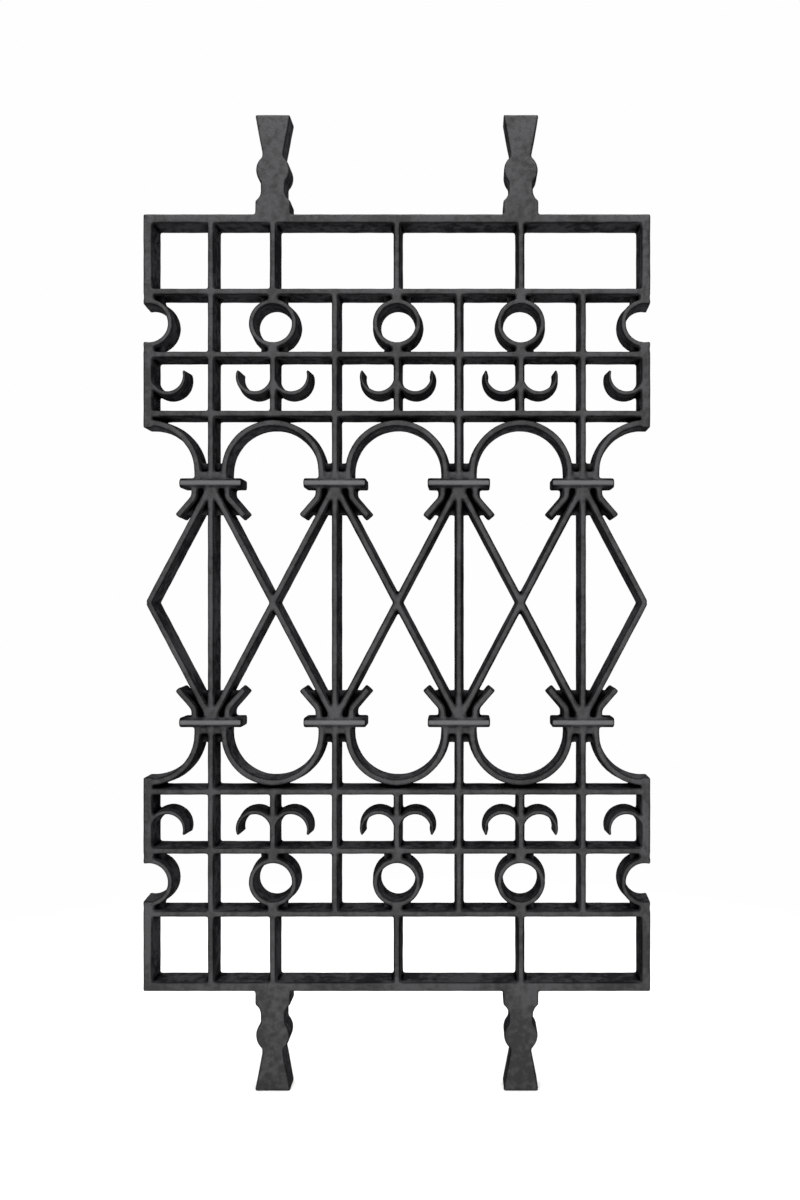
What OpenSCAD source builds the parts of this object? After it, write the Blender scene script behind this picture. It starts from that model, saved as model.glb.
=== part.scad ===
// Cast iron balustrade panel: an openwork lattice cast in one piece, with four
// lugs that are let into the kerb below and the coping above.
// The face looks along -Y and +Z is up. The origin is in the middle of the
// underside of the bottom rail. Outlines are drawn in the plane of the panel,
// as (x, z) from its centre, and the lower half mirrors the upper one.

/* [Panel] */
// Distance between neighbouring standards
bay = 125; // [112:1:136]
// Height over the top and bottom rails
panel_h = 782; // [740:1:860]
// Depth of the casting, front to back
depth = 27; // [20:1:32]

/* [Bars] */
// Width of a lattice bar
bar_w = 9; // [7:0.5:10]
// Width of the top and bottom rails and of the end stiles
frame_w = 10; // [8:0.5:12]
// Draft of a bar's flank, from the flat back to the face
draft = 2; // [0.5:0.25:2.5]
// Width of an arch's band
arch_w = 9; // [7:0.5:10]

/* [Rows] */
// Outer row, between the centre lines of its two rails
outer_row = 72.5; // [64:0.5:82]
// Ring row, between the centre lines of its two rails
ring_row = 63.5; // [61:0.5:67]
// Scroll row, between the centre lines of its two rails
scroll_row = 59.5; // [56:0.5:68]

/* [Rings and scrolls] */
// Outer diameter of a ring
ring_d = 51.5; // [47:0.5:53]
// Thickness of a ring's wall
ring_wall = 8; // [7:0.5:9]
// Width of the necks that join a ring to its rails
ring_neck_w = 13; // [10:1:16]
// Width of the sunk pads beside those necks
ring_pad_w = 26; // [20:1:30]
// Inner radius of a scroll
scroll_r = 14.5; // [12:0.5:15.5]
// Thickness of a scroll where it hangs lowest
scroll_thick = 7.5; // [6.5:0.5:8.5]
// Thickness of a scroll beside its tip
scroll_side = 6; // [5.5:0.5:7]

/* [Knots] */
// Distance from a standard to the arm of an arch
arm_x = 13.5; // [12:0.5:15]
// Straight length of an arm, from the springing to the collar
arm_len = 11.5; // [10:0.5:16]
// Width of a collar
collar_w = 62; // [52:1:70]
// Height of a collar
collar_h = 9; // [8:0.5:10]
// Chamfer along a collar's front arrises
collar_chamfer = 2.5; // [1:0.5:3]
// How far a collar stands proud of the lattice, on each face
collar_proud = 2; // [1:0.5:3]
// Distance from a standard to the root of a leaf
leaf_x = 16.5; // [15:0.5:18]
// Length of a leaf's straight end
leaf_len = 22; // [18:1:24]
// Thickness of the sunk webs and pads
web_t = 8; // [6:1:12]

/* [Lugs] */
// Length of a lug beyond its rail
lug_len = 100; // [80:1:120]
// Width of a lug at its tip and at its rail
lug_w = 34.5; // [30:0.5:40]
// Diameter of a lug's bulb
lug_bulb_d = 33; // [30:0.5:36]
// Width of the neck between tip and bulb
lug_tip_neck_w = 20.5; // [18:0.5:24]
// Width of the neck between bulb and rail
lug_rail_neck_w = 23.5; // [20:0.5:26]

/* [Hidden] */
$fn = 96;
iron = "#3b3b3d";

// Standards and the middles of the bays between them
standards_x = [-1.5 * bay, -0.5 * bay, 0.5 * bay, 1.5 * bay];
bays_x = [-bay, 0, bay];
ends_x = [-2 * bay, 2 * bay];
edge_x = 2 * bay + frame_w / 2;
// The standard that runs on through the outer rows
long_standard_x = standards_x[0];

// Heights over the middle of the panel: the rails' centre lines, the rings and their pads
frame_z = panel_h / 2 - frame_w / 2;
outer_z = frame_z - outer_row;
ring_z = outer_z - ring_row;
scroll_z = ring_z - scroll_row;
ring_mid_z = (outer_z + ring_z) / 2;
ring_pad_z = 0.4 * ring_d;
ring_pad_h = ring_row / 2 - ring_pad_z;

// Scrolls: an eccentric ring, cut off at its tip
scroll_bite = 0.6;
scroll_x = bar_w / 2 + scroll_r - scroll_bite;
scroll_drop = scroll_thick - scroll_side;
scroll_hang = 0.35;
scroll_mid_z = ring_z - scroll_hang * scroll_row;
scroll_tip_angle = 16;

// Arches: each crown stands just clear of the rail above, on a sunk pad
crown_gap = 0.4;
crown_pad_w = 28;
arch_r = bay / 2 - arm_x;
arch_crown_z = scroll_z - bar_w / 2 - crown_gap;
arch_z = arch_crown_z - arch_w / 2 - arch_r;

// Knots at the collars
collar_z = arch_z - arm_len;
knot_sink = 1;
knot_up = collar_h / 2 + 6.5;
knot_down = collar_h / 2 + 10;
knot_down_w = 14;
web_up = collar_h / 2 + 16;
web_down = collar_h / 2 + 26.5;

// Leaves: a straight root, a bend and a straight end
leaf_root = 10;
leaf_bend_r = 10;
leaf_angle = 41;
leaf_end_x = leaf_x + leaf_bend_r * (1 - cos(leaf_angle));
leaf_end_z = collar_z - leaf_root - leaf_bend_r * sin(leaf_angle);
web_root_x = leaf_x + bar_w / 4;
web_tip_x = leaf_end_x + (leaf_end_z - collar_z + web_down) * tan(leaf_angle);

// Lozenges: diagonals from under one collar to the mirrored one a bay away
lozenge_drop = 2.3;
lozenge_z = collar_z - lozenge_drop;
lozenge_angle = atan2(bay / 2, lozenge_z);
lozenge_len = norm([bay / 2, lozenge_z]);

// Lugs: stations along the length, from the tip
lug_taper = 0.37 * lug_len;
lug_bulb = 0.55 * lug_len;
lug_hollow = 0.76 * lug_len;
lug_hollow_r = 12;

// The casting's section: widest at its flat back, drafted towards the face
module section(width) {
  face = width / 2 - draft;
  polygon([
    [-face, -depth / 2],
    [face, -depth / 2],
    [width / 2, depth / 2],
    [-width / 2, depth / 2]
  ]);
}

// The frame's section: square to the outside, drafted inwards
module frame_section() {
  face = frame_w / 2 - draft;
  polygon([
    [-frame_w / 2, -depth / 2],
    [face, -depth / 2],
    [frame_w / 2, depth / 2],
    [-frame_w / 2, depth / 2]
  ]);
}

// A collar's section: square, with chamfered front arrises
module collar_section() {
  front = -depth / 2 - collar_proud;
  back = depth / 2 + collar_proud;
  face = collar_h / 2 - collar_chamfer;
  polygon([
    [-face, front],
    [face, front],
    [collar_h / 2, front + collar_chamfer],
    [collar_h / 2, back],
    [-collar_h / 2, back],
    [-collar_h / 2, front + collar_chamfer]
  ]);
}

module both_halves() {
  children();
  mirror([0, 0, 1]) children();
}

module both_sides() {
  children();
  mirror([1, 0, 0]) children();
}

module upright(x, low, high, width = bar_w) {
  translate([x, 0, low]) linear_extrude(height = high - low) section(width);
}

// A level bar over the middle of the panel, of the section that is given
module level(z, half_len = edge_x) {
  translate([-half_len, 0, z]) rotate([0, 90, 0]) linear_extrude(height = 2 * half_len) children();
}

// A band bent to an arc in the panel's plane, from the +X side anticlockwise
module bent(radius, width, angle = 360) {
  rotate([90, 0, 0]) rotate_extrude(angle = angle)
    translate([radius, 0]) mirror([0, 1]) section(width);
}

// A round blank with a drafted rim, which draws in or out towards the face
module blank(radius, taper) {
  rotate([90, 0, 0]) rotate_extrude() polygon([
    [0, -depth / 2],
    [radius, -depth / 2],
    [radius - taper, depth / 2],
    [0, depth / 2]
  ]);
}

// A plain slab of a plane figure, centred on the panel's mid-depth
module slab(thickness) {
  rotate([90, 0, 0]) linear_extrude(height = thickness, center = true) children();
}

// Cuts a figure off flush with the panel's ends
module flush_ends() {
  intersection() {
    union() children();
    cube([2 * edge_x, 2 * depth, panel_h], center = true);
  }
}

module rails() {
  level(frame_z) frame_section();
  for (z = [outer_z, ring_z, scroll_z]) level(z) section(bar_w);
}

// End stiles in two lengths, which leave the cut rings open between them
module stiles() {
  foot_z = arch_crown_z - arch_w;
  both_sides() translate([ends_x[0], 0, 0]) {
    translate([0, 0, outer_z]) linear_extrude(height = outer_row) frame_section();
    translate([0, 0, foot_z]) linear_extrude(height = ring_z - foot_z) frame_section();
  }
}

module standards() {
  for (x = standards_x) {
    reach = x == long_standard_x ? frame_z : outer_z;
    upright(x, -reach, reach);
  }
}

module outer_bars() {
  for (x = bays_x) upright(x, outer_z, frame_z);
}

module ring(x) {
  translate([x, 0, ring_mid_z]) {
    bent(ring_d / 2 - ring_wall / 2, ring_wall);
    for (z = [ring_pad_z, -ring_row / 2]) {
      upright(0, z, z + ring_pad_h, ring_neck_w);
      translate([0, 0, z]) slab(web_t) translate([-ring_pad_w / 2, 0]) square([ring_pad_w, ring_pad_h]);
    }
  }
}

module scroll() {
  outer_r = scroll_r + scroll_side;
  translate([scroll_x, 0, scroll_mid_z]) difference() {
    translate([0, 0, -scroll_drop]) blank(outer_r, draft);
    blank(scroll_r, -draft);
    rotate([0, -scroll_tip_angle, 0]) translate([-2 * outer_r, -depth, 0])
      cube([4 * outer_r, 2 * depth, 2 * outer_r]);
  }
}

module scrolls() {
  for (x = bays_x) {
    upright(x, scroll_z, ring_z);
    translate([x, 0, 0]) both_sides() scroll();
  }
  both_sides() translate([ends_x[0], 0, 0]) scroll();
}

module arch(x) {
  translate([x, 0, arch_z]) {
    bent(arch_r, arch_w, 180);
    both_sides() upright(arch_r, -arm_len, 0, arch_w);
  }
}

module leaf() {
  upright(leaf_x, collar_z - leaf_root, collar_z);
  translate([leaf_x + leaf_bend_r, 0, collar_z - leaf_root])
    rotate([0, 180, 0]) bent(leaf_bend_r, bar_w, leaf_angle);
  translate([leaf_end_x, 0, leaf_end_z]) rotate([0, -leaf_angle, 0]) upright(0, -leaf_len, 0);
}

module leaves() {
  for (x = standards_x) translate([x, 0, 0]) both_sides() leaf();
}

module lozenges() {
  for (x = standards_x)
    translate([x, 0, lozenge_z])
      for (side = [-1, 1])
        rotate([0, side * lozenge_angle, 0]) upright(0, -lozenge_len, 0);
}

module lug() {
  neck_r = lug_rail_neck_w / 2;
  translate([0, panel_h / 2 + lug_len]) mirror([0, 1]) {
    polygon([
      [-lug_w / 2, 0],
      [lug_w / 2, 0],
      [lug_tip_neck_w / 2, lug_taper],
      [-lug_tip_neck_w / 2, lug_taper]
    ]);
    translate([-lug_tip_neck_w / 2, lug_taper]) square([lug_tip_neck_w, lug_bulb - lug_taper]);
    translate([0, lug_bulb]) circle(d = lug_bulb_d);
    difference() {
      translate([-lug_w / 2, lug_bulb]) square([lug_w, lug_len + frame_w / 2 - lug_bulb]);
      for (side = [-1, 1]) {
        translate([side * (neck_r + lug_hollow_r), lug_hollow]) circle(r = lug_hollow_r);
        translate([side * (neck_r + lug_w / 2), lug_hollow / 2]) square([lug_w, lug_hollow], center = true);
      }
    }
  }
}

module lugs() {
  both_halves() for (x = [-bay, bay]) translate([x, 0, 0]) slab(depth) lug();
}

module lattice() {
  standards();
  both_halves() {
    rails();
    stiles();
    outer_bars();
    scrolls();
    leaves();
    flush_ends() lozenges();
    for (x = bays_x) {
      ring(x);
      arch(x);
    }
    for (x = ends_x) flush_ends() {
      ring(x);
      arch(x);
    }
  }
}

module collars() {
  both_halves() for (x = standards_x)
    translate([x, 0, 0]) level(collar_z, collar_w / 2) collar_section();
}

// Blocks above and below the collars, nearly flush with the faces of the lattice
module knots() {
  both_halves() for (x = standards_x)
    translate([x, 0, collar_z]) slab(depth - 2 * knot_sink) {
      translate([-arm_x, 0]) square([2 * arm_x, knot_up]);
      translate([-knot_down_w / 2, -knot_down]) square([knot_down_w, knot_down]);
    }
}

// Sunk webs in the knots, and the sunk pads over the crowns
module webs() {
  pad_z = arch_crown_z - arch_w / 2;
  pad_h = scroll_z - pad_z;
  both_halves() {
    for (x = standards_x) translate([x, 0, collar_z]) slab(web_t) {
      translate([-arm_x, 0]) square([2 * arm_x, web_up]);
      polygon([
        [-web_root_x, 0],
        [web_root_x, 0],
        [web_root_x, -leaf_root],
        [web_tip_x, -web_down],
        [-web_tip_x, -web_down],
        [-web_root_x, -leaf_root]
      ]);
    }
    slab(web_t) {
      for (x = bays_x) translate([x - crown_pad_w / 2, pad_z]) square([crown_pad_w, pad_h]);
      for (x = [-edge_x, edge_x - crown_pad_w / 2]) translate([x, pad_z]) square([crown_pad_w / 2, pad_h]);
    }
  }
}

module panel() {
  color(iron) translate([0, 0, panel_h / 2]) {
    lattice();
    lugs();
    collars();
    knots();
    webs();
  }
}

panel();
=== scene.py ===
import logging
import math
from dataclasses import dataclass, field
from enum import Enum
from typing import Any

import bpy
import numpy as np
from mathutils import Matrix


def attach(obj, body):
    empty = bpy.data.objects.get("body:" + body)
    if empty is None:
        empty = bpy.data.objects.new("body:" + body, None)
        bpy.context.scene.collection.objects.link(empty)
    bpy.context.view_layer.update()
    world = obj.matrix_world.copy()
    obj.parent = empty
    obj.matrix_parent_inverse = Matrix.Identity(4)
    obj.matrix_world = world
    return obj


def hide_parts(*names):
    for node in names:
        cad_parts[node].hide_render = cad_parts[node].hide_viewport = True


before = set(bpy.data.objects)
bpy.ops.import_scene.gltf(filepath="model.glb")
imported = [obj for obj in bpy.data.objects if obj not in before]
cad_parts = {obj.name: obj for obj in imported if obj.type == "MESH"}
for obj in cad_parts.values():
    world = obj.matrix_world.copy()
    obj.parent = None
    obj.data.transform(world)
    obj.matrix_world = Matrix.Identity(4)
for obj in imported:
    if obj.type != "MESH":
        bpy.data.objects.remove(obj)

import openvdb as vdb
from mathutils import Vector

LOG = logging.getLogger("balustrade")
PHOTO_SIZE = (800, 1200)
SENSOR = 36.0
MM = 0.001
WHOLE = (0.0, 1.0)
# A Mix node has one set of sockets for each kind of value. These are the ones for colours.
MIX_FACTOR, MIX_LOW, MIX_HIGH, MIX_RESULT = 0, 6, 7, 2


class Slot(Enum):
    """Names of material slots."""

    IRON = "black_iron"


class Mask(Enum):
    """Point attributes that the casting carries for its paint and for the painted light and shade in it."""

    # Painted shade along the arrises.
    ARRIS = "arris"
    # Painted shade in the corners.
    RECESS = "recess"
    # Faces, which take other colours than the flanks, a painted light and shade.
    FACE = "face"
    # Collars, which take a painted highlight.
    PROUD = "proud"


def linear(code: str) -> tuple[float, float, float, float]:
    """Turn an sRGB hex colour into linear RGBA.

    Args:
        code: Colour as "#rrggbb".

    Returns:
        Linear red, green and blue, with an alpha of one.
    """
    parts = [int(code[i : i + 2], 16) / 255 for i in (1, 3, 5)]
    return (*(c / 12.92 if c <= 0.04045 else ((c + 0.055) / 1.055) ** 2.4 for c in parts), 1.0)


def per_mm(size: float) -> float:
    """Return the texture scale at which a pattern repeats about every `size` millimetres."""
    return 1.0 / (size * MM)


def points_mm(mesh: bpy.types.Mesh) -> np.ndarray:
    """Return a mesh's points in millimetres, one row each."""
    values = np.empty(len(mesh.vertices) * 3, np.float32)
    mesh.vertices.foreach_get("co", values)
    return values.reshape(-1, 3) / MM


def triangle_count(mesh: bpy.types.Mesh) -> int:
    """Return the number of triangles that a mesh's faces split into."""
    return sum(len(face.vertices) - 2 for face in mesh.polygons)


def put_in_scene(thing: bpy.types.Object) -> None:
    """Link an object to the scene."""
    bpy.context.scene.collection.objects.link(thing)


def new_material(name: str) -> tuple[bpy.types.Material, bpy.types.NodeTree, bpy.types.Node]:
    """Return a new node material, its tree and its shader."""
    mat = bpy.data.materials.new(name)
    mat.use_nodes = True
    return mat, mat.node_tree, mat.node_tree.nodes["Principled BSDF"]


def add_node(tree: bpy.types.NodeTree, kind: str, inputs: dict[Any, Any] | None = None,
             **settings: Any) -> bpy.types.Node:
    """Add one node, set it up and wire it.

    Args:
        tree: Node tree that gets the node.
        kind: Node type, such as "ShaderNodeTexNoise".
        inputs: Socket name or index to a value, or to the output socket that feeds it.
        settings: Attributes of the node itself.

    Returns:
        The new node.
    """
    node = tree.nodes.new(kind)
    for name, value in settings.items():
        setattr(node, name, value)
    for name, value in (inputs or {}).items():
        if isinstance(value, bpy.types.NodeSocket):
            tree.links.new(value, node.inputs[name])
        else:
            node.inputs[name].default_value = value
    return node


@dataclass(frozen=True)
class PaintedIron:
    """Black oil paint, brushed in several coats over sand-cast iron.

    The paint fills the sand's grain. The faces have a soft satin, and the flanks are matt and mottled.
    Faces and flanks also take different colours, a painted light and shade by which way the surface faces.
    Painted shade darkens the arrises and the corners, and a painted highlight runs along the collars. Pairs
    of colours and of numbers run from the low to the high end of what steers them.
    """

    name: str = "black brushed paint on sand-cast iron"
    # Faces and flanks differ in colour as a painted light and shade by which way the surface faces.
    face: tuple[str, str] = ("#020203", "#2c2c2e")
    flank: tuple[str, str] = ("#1a1a1c", "#323234")
    # Painted shade along the arrises.
    edge: str = "#020202"
    # A painted highlight along the collars.
    collar_highlight: str = "#4a4a4c"
    # Painted shade in the corners.
    corner: str = "#030303"
    roughness: tuple[float, float] = (0.36, 0.6)
    specular: tuple[float, float] = (0.0, 0.36)

    # Three sizes of noise: the sand's grain, the brush's strokes and the patches of uneven coats.
    grain_mm: float = 2.2
    grain_detail: float = 3.0
    brush_mm: float = 7.0
    brush_detail: float = 2.0
    patch_mm: float = 45.0
    patch_detail: float = 4.0

    # The relief that grain and strokes leave in the paint.
    grain_depth_mm: float = 0.7
    grain_strength: float = 0.6
    brush_depth_mm: float = 0.5
    brush_strength: float = 0.5

    # The parts of the noise that change the tone, break up the dark arrises and change the gloss.
    tone_range: tuple[float, float] = (0.85, 1.15)
    break_range: tuple[float, float] = (0.35, 0.65)
    break_share: tuple[float, float] = (0.6, 1.0)
    gloss_range: tuple[float, float] = (0.3, 0.7)

    def material(self) -> bpy.types.Material:
        """Build the finish as a node material and return it."""
        mat, tree, shader = new_material(self.name)
        place = add_node(tree, "ShaderNodeTexCoord").outputs["Object"]

        grain = self._noise(tree, place, self.grain_mm, self.grain_detail)
        brush = self._noise(tree, place, self.brush_mm, self.brush_detail)
        patch = self._noise(tree, place, self.patch_mm, self.patch_detail)

        # Coats of uneven thickness give the black its slow change of tone.
        blotch = add_node(tree, "ShaderNodeMath", {0: patch, 1: brush}, operation="ADD").outputs[0]
        tone = self._range(tree, blotch, self.tone_range, WHOLE)
        # Painted light and shade: the faces' and the flanks' colours, each set by the coats' tone.
        face_shading, matt = (self._mix(tree, tone, *map(linear, pair)) for pair in (self.face, self.flank))
        # Faces take one pair of colours, flanks and sunk webs another: painted light and shade by which way
        # the surface faces and how deep it lies. The same mask gives the faces a satin and the rest a matt.
        face = self._mask(tree, Mask.FACE)
        coat_and_shading = self._mix(tree, face, matt, face_shading)
        # Painted shade: a dark line along each bar's arrises, broken up by the brush.
        share = self._range(tree, brush, self.break_range, self.break_share)
        broken = add_node(tree, "ShaderNodeMath", {0: self._mask(tree, Mask.ARRIS), 1: share},
                          operation="MULTIPLY").outputs[0]
        with_arris_shade = self._mix(tree, broken, coat_and_shading, linear(self.edge))
        # Painted shade darkens the corners, which sets the knots and crossings apart.
        dark = self._mix(tree, self._mask(tree, Mask.RECESS), with_arris_shade, linear(self.corner))
        # A painted highlight: a lighter line along the collars, where they stand proud of the bars.
        colour = self._mix(tree, self._mask(tree, Mask.PROUD), dark, linear(self.collar_highlight))

        # Strokes and grain in the relief keep the satin from shining like a smooth plastic.
        strokes = add_node(tree, "ShaderNodeBump", {
            "Height": brush, "Distance": self.brush_depth_mm * MM, "Strength": self.brush_strength})
        relief = add_node(tree, "ShaderNodeBump", {
            "Height": grain, "Distance": self.grain_depth_mm * MM, "Strength": self.grain_strength,
            "Normal": strokes.outputs["Normal"]})
        tree.links.new(colour, shader.inputs["Base Color"])
        tree.links.new(self._range(tree, brush, self.gloss_range, self.roughness), shader.inputs["Roughness"])
        tree.links.new(relief.outputs["Normal"], shader.inputs["Normal"])
        tree.links.new(self._range(tree, face, WHOLE, self.specular), shader.inputs["Specular IOR Level"])
        return mat

    def _noise(self, tree: bpy.types.NodeTree, place: bpy.types.NodeSocket, size: float,
               detail: float) -> bpy.types.NodeSocket:
        """Return a noise value of the given size in millimetres."""
        made = add_node(tree, "ShaderNodeTexNoise", {"Vector": place, "Scale": per_mm(size), "Detail": detail})
        return made.outputs[0]

    def _range(self, tree: bpy.types.NodeTree, value: bpy.types.NodeSocket, old: tuple[float, float],
               new: tuple[float, float]) -> bpy.types.NodeSocket:
        """Return the value carried from one range into another, clamped."""
        made = add_node(tree, "ShaderNodeMapRange", {"Value": value, "From Min": old[0], "From Max": old[1],
                                                     "To Min": new[0], "To Max": new[1]})
        return made.outputs[0]

    def _mix(self, tree: bpy.types.NodeTree, factor: bpy.types.NodeSocket, low: Any,
             high: Any) -> bpy.types.NodeSocket:
        """Return the blend of two colours by a factor."""
        made = add_node(tree, "ShaderNodeMix", {MIX_FACTOR: factor, MIX_LOW: low, MIX_HIGH: high},
                        data_type="RGBA")
        return made.outputs[MIX_RESULT]

    def _mask(self, tree: bpy.types.NodeTree, mask: Mask) -> bpy.types.NodeSocket:
        """Return one of the casting's own point attributes."""
        return add_node(tree, "ShaderNodeAttribute", attribute_name=mask.value).outputs["Fac"]


@dataclass(frozen=True)
class FloorPaint:
    """Matt white paint on a studio floor, which clears between two distances from the middle, in metres."""

    name: str = "matt white studio floor paint"
    colour: str = "#e4e4e2"
    clear: tuple[float, float] = (0.25, 0.95)
    roughness: float = 0.9
    specular: float = 0.1

    def material(self) -> bpy.types.Material:
        """Build the finish as a node material and return it."""
        mat, tree, shader = new_material(self.name)
        # The paint takes the lugs' faint shadows and shows no edge, so the ground is as plain as the photo's.
        place = add_node(tree, "ShaderNodeTexCoord").outputs["Object"]
        away = add_node(tree, "ShaderNodeVectorMath", {0: place}, operation="LENGTH").outputs["Value"]
        shown = add_node(tree, "ShaderNodeMapRange", {
            "Value": away, "From Min": self.clear[0], "From Max": self.clear[1], "To Min": 1.0, "To Max": 0.0},
            interpolation_type="SMOOTHERSTEP")
        tree.links.new(shown.outputs[0], shader.inputs["Alpha"])
        shader.inputs["Base Color"].default_value = linear(self.colour)
        shader.inputs["Roughness"].default_value = self.roughness
        shader.inputs["Specular IOR Level"].default_value = self.specular
        return mat


@dataclass
class Casting:
    """The iron casting: the CAD lattice with the soft arrises and filled corners that a sand mould gives.

    The CAD solid becomes a grid of distances, which is blurred, swelled back to the bars' width, made slightly
    uneven and turned into a surface again.
    """

    node: str = "panel"
    finish: PaintedIron = field(default_factory=PaintedIron)
    triangles: int = 190_000

    # The grid: a voxel's size in millimetres, then the band of distances, the margin and the step in voxels.
    voxel: float = 1.0
    band: float = 5.0
    margin: int = 3
    slope_step: float = 0.5

    # The mould: its softening, the swelling that makes up for it, and its waves along x, y and z.
    soften_mm: float = 0.8
    blur_reach: float = 2.5
    swell_mm: float = 0.5
    uneven_mm: float = 0.1
    wave_mm: tuple[float, float, float] = (5.3, 9.0, 6.1)
    wave_start: float = 0.6
    sway: tuple[float, float] = (1.7, 1.3)
    sway_mm: tuple[float, float] = (17.0, 13.0)

    # The masks: the blur that finds bends, and the ranges over which each mask grows from none to full. All are
    # in millimetres but the slope, which is one where the surface faces straight to the front or the back.
    mask_mm: float = 2.6
    arris_range: tuple[float, float] = (0.25, 0.8)
    recess_range: tuple[float, float] = (0.1, 0.75)
    face_slope: tuple[float, float] = (0.85, 0.99)
    face_depth: tuple[float, float] = (10.0, 13.6)
    proud_depth: tuple[float, float] = (14.4, 15.2)

    _low: np.ndarray = field(init=False, repr=False)

    def build(self) -> bpy.types.Object:
        """Build, dress and place the casting.

        Returns:
            The piece, which rides on the root body and stands for the CAD node.
        """
        distance = self._distance()
        soft = self._blurred(distance, self.soften_mm) - self.swell_mm + self._unevenness(distance.shape)
        wide = self._blurred(soft, self.mask_mm)
        points, faces = self._surface(soft)
        piece = self._piece(points, faces, soft, wide)
        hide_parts(self.node)
        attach(piece, "root")
        return piece

    def _distance(self) -> np.ndarray:
        """Return the signed distance to the CAD solid, in millimetres, on a grid of voxels."""
        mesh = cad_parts[self.node].data
        mesh.calc_loop_triangles()
        triples = np.empty(len(mesh.loop_triangles) * 3, np.int32)
        mesh.loop_triangles.foreach_get("vertices", triples)
        grid = vdb.FloatGrid.createLevelSetFromPolygons(
            points_mm(mesh), triangles=triples.reshape(-1, 3).astype(np.uint32),
            transform=self._transform(), halfWidth=self.band)
        low, high = (np.array(corner) for corner in grid.evalActiveVoxelBoundingBox())
        self._low = low - self.margin
        values = np.empty(tuple(high - low + 2 * self.margin + 1), np.float32)
        grid.copyToArray(values, ijk=self._start())
        return values

    def _transform(self) -> Any:
        """Return the grid's transform from voxels to millimetres."""
        return vdb.createLinearTransform(voxelSize=self.voxel)

    def _start(self) -> tuple[int, int, int]:
        """Return the index of the grid's first voxel."""
        return tuple(int(i) for i in self._low)

    def _blurred(self, values: np.ndarray, sigma: float) -> np.ndarray:
        """Blur a grid.

        Args:
            values: Grid to blur.
            sigma: Width of the blur in millimetres.

        Returns:
            A new grid of the same shape.
        """
        spread = sigma / self.voxel
        reach = math.ceil(self.blur_reach * spread)
        weights = np.exp(-0.5 * (np.arange(-reach, reach + 1) / spread) ** 2)
        weights /= weights.sum()
        for axis in range(3):
            padded = np.pad(values, [(reach, reach) if a == axis else (0, 0) for a in range(3)], mode="edge")
            total = np.zeros_like(values)
            for shift, weight in enumerate(weights):
                cut = [slice(None)] * 3
                cut[axis] = slice(shift, shift + values.shape[axis])
                total += np.float32(weight) * padded[tuple(cut)]
            values = total
        return values

    def _unevenness(self, shape: tuple[int, ...]) -> np.ndarray:
        """Make the slow waves that a wooden pattern leaves in the sand.

        Args:
            shape: Shape of the grid.

        Returns:
            A grid of heights, of a tenth of a millimetre at most.
        """
        x, y, z = (
            np.arange(n, dtype=np.float32).reshape([-1 if a == b else 1 for b in range(3)]) * self.voxel
            for a, n in enumerate(shape))
        wave_x, wave_y, wave_z = self.wave_mm
        sway_x = self.sway[0] * np.sin(z / self.sway_mm[0])
        sway_z = self.sway[1] * np.sin(x / self.sway_mm[1])
        along = np.sin(x / wave_x + sway_x) * np.sin(z / wave_z + sway_z)
        across = np.sin(y / wave_y + self.wave_start)
        return np.float32(self.uneven_mm) * (along * across).astype(np.float32)

    def _surface(self, values: np.ndarray) -> tuple[np.ndarray, list[np.ndarray]]:
        """Find the surface at zero distance.

        Args:
            values: Grid of distances in millimetres.

        Returns:
            The points in millimetres, and the triangles and quads between them.
        """
        grid = vdb.FloatGrid(self.band * self.voxel)
        grid.transform = self._transform()
        grid.copyFromArray(values, ijk=self._start(), tolerance=0.0)
        points, triangles, quads = grid.convertToPolygons(isovalue=0.0, adaptivity=0.0)
        return points, [triangles, quads]

    def _sample(self, values: np.ndarray, points: np.ndarray) -> np.ndarray:
        """Read a grid at points that lie between its voxels.

        Args:
            values: Grid to read.
            points: Points in millimetres, one row each.

        Returns:
            One blended value for each point.
        """
        place = points / self.voxel - self._low
        base = np.clip(np.floor(place).astype(int), 0, np.array(values.shape) - 2)
        part = (place - base).astype(np.float32)
        total = np.zeros(len(points), np.float32)
        for corner in np.ndindex(2, 2, 2):
            weight = np.prod(np.where(corner, part, 1 - part), axis=1)
            total += weight * values[tuple((base + corner).T)]
        return total

    def _normals(self, values: np.ndarray, points: np.ndarray) -> np.ndarray:
        """Find the surface's normals from the slope of the distance.

        Args:
            values: Grid of distances.
            points: Points in millimetres, one row each.

        Returns:
            One unit normal for each point.
        """
        steps = np.eye(3) * self.slope_step * self.voxel
        slope = np.stack([self._sample(values, points + step) - self._sample(values, points - step)
                          for step in steps], axis=1)
        return slope / np.linalg.norm(slope, axis=1, keepdims=True)

    def _masks(self, points: np.ndarray, normals: np.ndarray, wide: np.ndarray) -> dict[Mask, np.ndarray]:
        """Find where the paint changes, with its painted light and shade.

        Args:
            points: Points in millimetres, one row each.
            normals: Their unit normals.
            wide: Distances blurred so far that they tell which way the surface bends.

        Returns:
            For each mask, a value from 0 to 1 for each point.
        """
        bend = self._sample(wide, points)
        square = self._step(np.abs(normals[:, 1]), self.face_slope)
        depth = np.abs(points[:, 1])
        outer = self._step(depth, self.face_depth)
        # Painted shade on arrises and in recesses, painted light and shade by facing, and a painted highlight
        # on collars.
        return {
            Mask.ARRIS: self._step(bend, self.arris_range) * outer * (1 - square),
            Mask.RECESS: self._step(-bend, self.recess_range),
            Mask.FACE: square * outer,
            Mask.PROUD: square * self._step(depth, self.proud_depth),
        }

    def _step(self, values: np.ndarray, ends: tuple[float, float]) -> np.ndarray:
        """Return values carried from a range to 0 to 1, clamped."""
        return np.clip((values - ends[0]) / (ends[1] - ends[0]), 0, 1).astype(np.float32)

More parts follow.
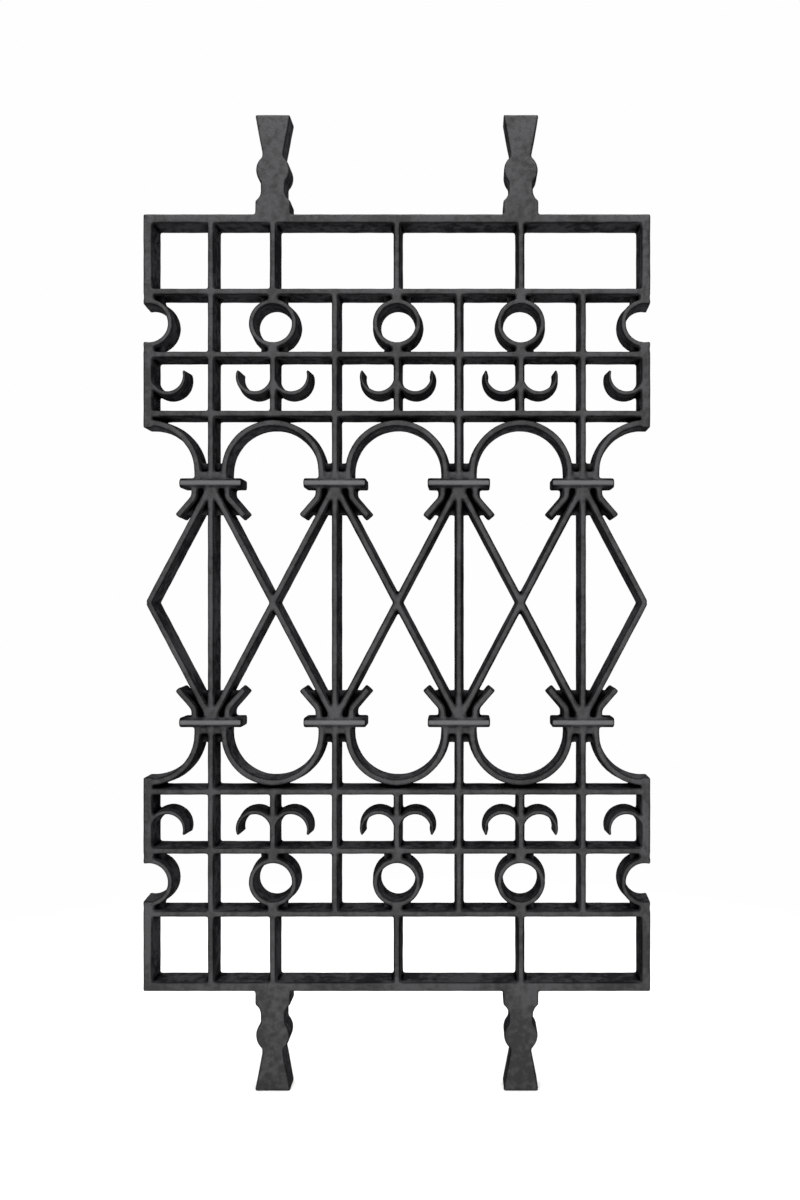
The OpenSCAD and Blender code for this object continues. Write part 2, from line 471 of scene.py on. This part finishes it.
    def _piece(self, points: np.ndarray, faces: list[np.ndarray], soft: np.ndarray,
               wide: np.ndarray) -> bpy.types.Object:
        """Make the casting's object, with smooth normals, masks and paint.

        Args:
            points: Points of the surface in millimetres.
            faces: Arrays of triangles and of quads between them.
            soft: Distances that the surface was made from, for the normals.
            wide: Distances blurred further, for the masks.

        Returns:
            The object, in the scene.
        """
        mesh = bpy.data.meshes.new("casting")
        mesh.from_pydata((points * MM).tolist(), [], [f for kind in faces for f in kind.tolist()])
        piece = bpy.data.objects.new("casting", mesh)
        put_in_scene(piece)
        self._thin_out(piece, np.abs(points[:, 1]))
        mesh = piece.data
        mesh.polygons.foreach_set("use_smooth", np.ones(len(mesh.polygons), bool))
        left = points_mm(mesh)
        normals = self._normals(soft, left)
        mesh.normals_split_custom_set_from_vertices(normals.tolist())
        for mask, values in self._masks(left, normals, wide).items():
            mesh.attributes.new(mask.value, "FLOAT", "POINT").data.foreach_set("value", values)
        mesh.materials.append(self.finish.material())
        return piece

    def _thin_out(self, piece: bpy.types.Object, depth: np.ndarray) -> None:
        """Merge triangles down to the piece's limit, but spare the collars' narrow faces.

        Args:
            piece: Object whose mesh is replaced.
            depth: Distance of each of its points from the panel's middle plane, in millimetres.
        """
        full = piece.data
        merged = piece.vertex_groups.new(name="merged")
        merged.add(np.flatnonzero(depth < self.proud_depth[0]).tolist(), 1.0, "REPLACE")
        thin = piece.modifiers.new("thin out", "DECIMATE")
        thin.vertex_group = merged.name
        thin.ratio = self.triangles / triangle_count(full)
        shown = piece.evaluated_get(bpy.context.evaluated_depsgraph_get())
        piece.data = bpy.data.meshes.new_from_object(shown)
        piece.data.name = "casting"
        piece.modifiers.clear()
        piece.vertex_groups.clear()
        bpy.data.meshes.remove(full)


@dataclass(frozen=True)
class Softbox:
    """A soft rectangular light that looks at the panel's middle, with lengths in metres and power in watts."""

    name: str
    place: tuple[float, float, float]
    size: tuple[float, float]
    power: float
    aim: tuple[float, float, float] = (0.0, 0.0, 0.39)

    def build(self) -> None:
        """Hang the light in its place."""
        light = bpy.data.lights.new(self.name, "AREA")
        light.shape = "RECTANGLE"
        light.size, light.size_y = self.size
        light.energy = self.power
        box = bpy.data.objects.new(self.name, light)
        box.location = self.place
        box.rotation_euler = (Vector(self.aim) - Vector(self.place)).to_track_quat("-Z", "Y").to_euler()
        put_in_scene(box)


@dataclass
class Studio:
    """White studio: a pale floor, even white all round, and soft lights in front, behind and above."""

    floor_z: float = -0.1006
    floor_half: float = 1.0
    floor_finish: FloorPaint = field(default_factory=FloorPaint)
    white: str = "#ffffff"
    white_strength: float = 0.99
    softboxes: tuple[Softbox, ...] = (
        Softbox("front", (-0.2, -3.2, 0.6), (2.0, 3.4), 48.0),
        Softbox("back", (0.0, 3.2, 0.6), (2.0, 3.4), 48.0),
        Softbox("top", (0.0, -0.3, 2.7), (2.4, 2.4), 110.0),
    )

    def build(self) -> None:
        """Build the floor, the world and the lights."""
        self._floor()
        self._world()
        for softbox in self.softboxes:
            softbox.build()

    def _floor(self) -> None:
        """Lay the floor under the lower lugs."""
        half = self.floor_half
        square = ((-half, -half), (half, -half), (half, half), (-half, half))
        mesh = bpy.data.meshes.new("floor")
        mesh.from_pydata([(x, y, 0.0) for x, y in square], [], [(0, 1, 2, 3)])
        mesh.materials.append(self.floor_finish.material())
        floor = bpy.data.objects.new("floor", mesh)
        floor.location.z = self.floor_z
        put_in_scene(floor)

    def _world(self) -> None:
        """Surround the panel with an even white, into which the floor fades."""
        world = bpy.data.worlds.new("studio")
        bpy.context.scene.world = world
        world.use_nodes = True
        sky = world.node_tree.nodes["Background"]
        sky.inputs["Color"].default_value = linear(self.white)
        sky.inputs["Strength"].default_value = self.white_strength


@dataclass
class PhotoCamera:
    """Camera at the photo's place, level and square to the panel."""

    place: tuple[float, float, float] = (0.0715, -1.1705, 0.3894)
    level_deg: float = 90.0
    focal_px: float = 1149.0
    centre_px: tuple[float, float] = (467.8, 604.3)

    def build(self) -> None:
        """Set up the camera and make it the scene's own."""
        width, height = PHOTO_SIZE
        data = bpy.data.cameras.new("photo")
        # The sensor spans the picture's longer side, which is its height.
        data.sensor_width = SENSOR
        data.lens = self.focal_px / height * SENSOR
        data.shift_x = (width / 2 - self.centre_px[0]) / height
        data.shift_y = (self.centre_px[1] - height / 2) / height
        camera = bpy.data.objects.new("photo", data)
        camera.location = self.place
        camera.rotation_euler = (math.radians(self.level_deg), 0, 0)
        put_in_scene(camera)
        bpy.context.scene.camera = camera


def main() -> None:
    """Build the casting, the studio and the camera, in order."""
    logging.basicConfig(level=logging.INFO, format="%(message)s")
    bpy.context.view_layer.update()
    piece = Casting().build()
    LOG.info("%s: %d triangles", piece.name, triangle_count(piece.data))
    Studio().build()
    PhotoCamera().build()
    bpy.context.scene.view_settings.view_transform = "Standard"


if __name__ == "__main__":
    main()
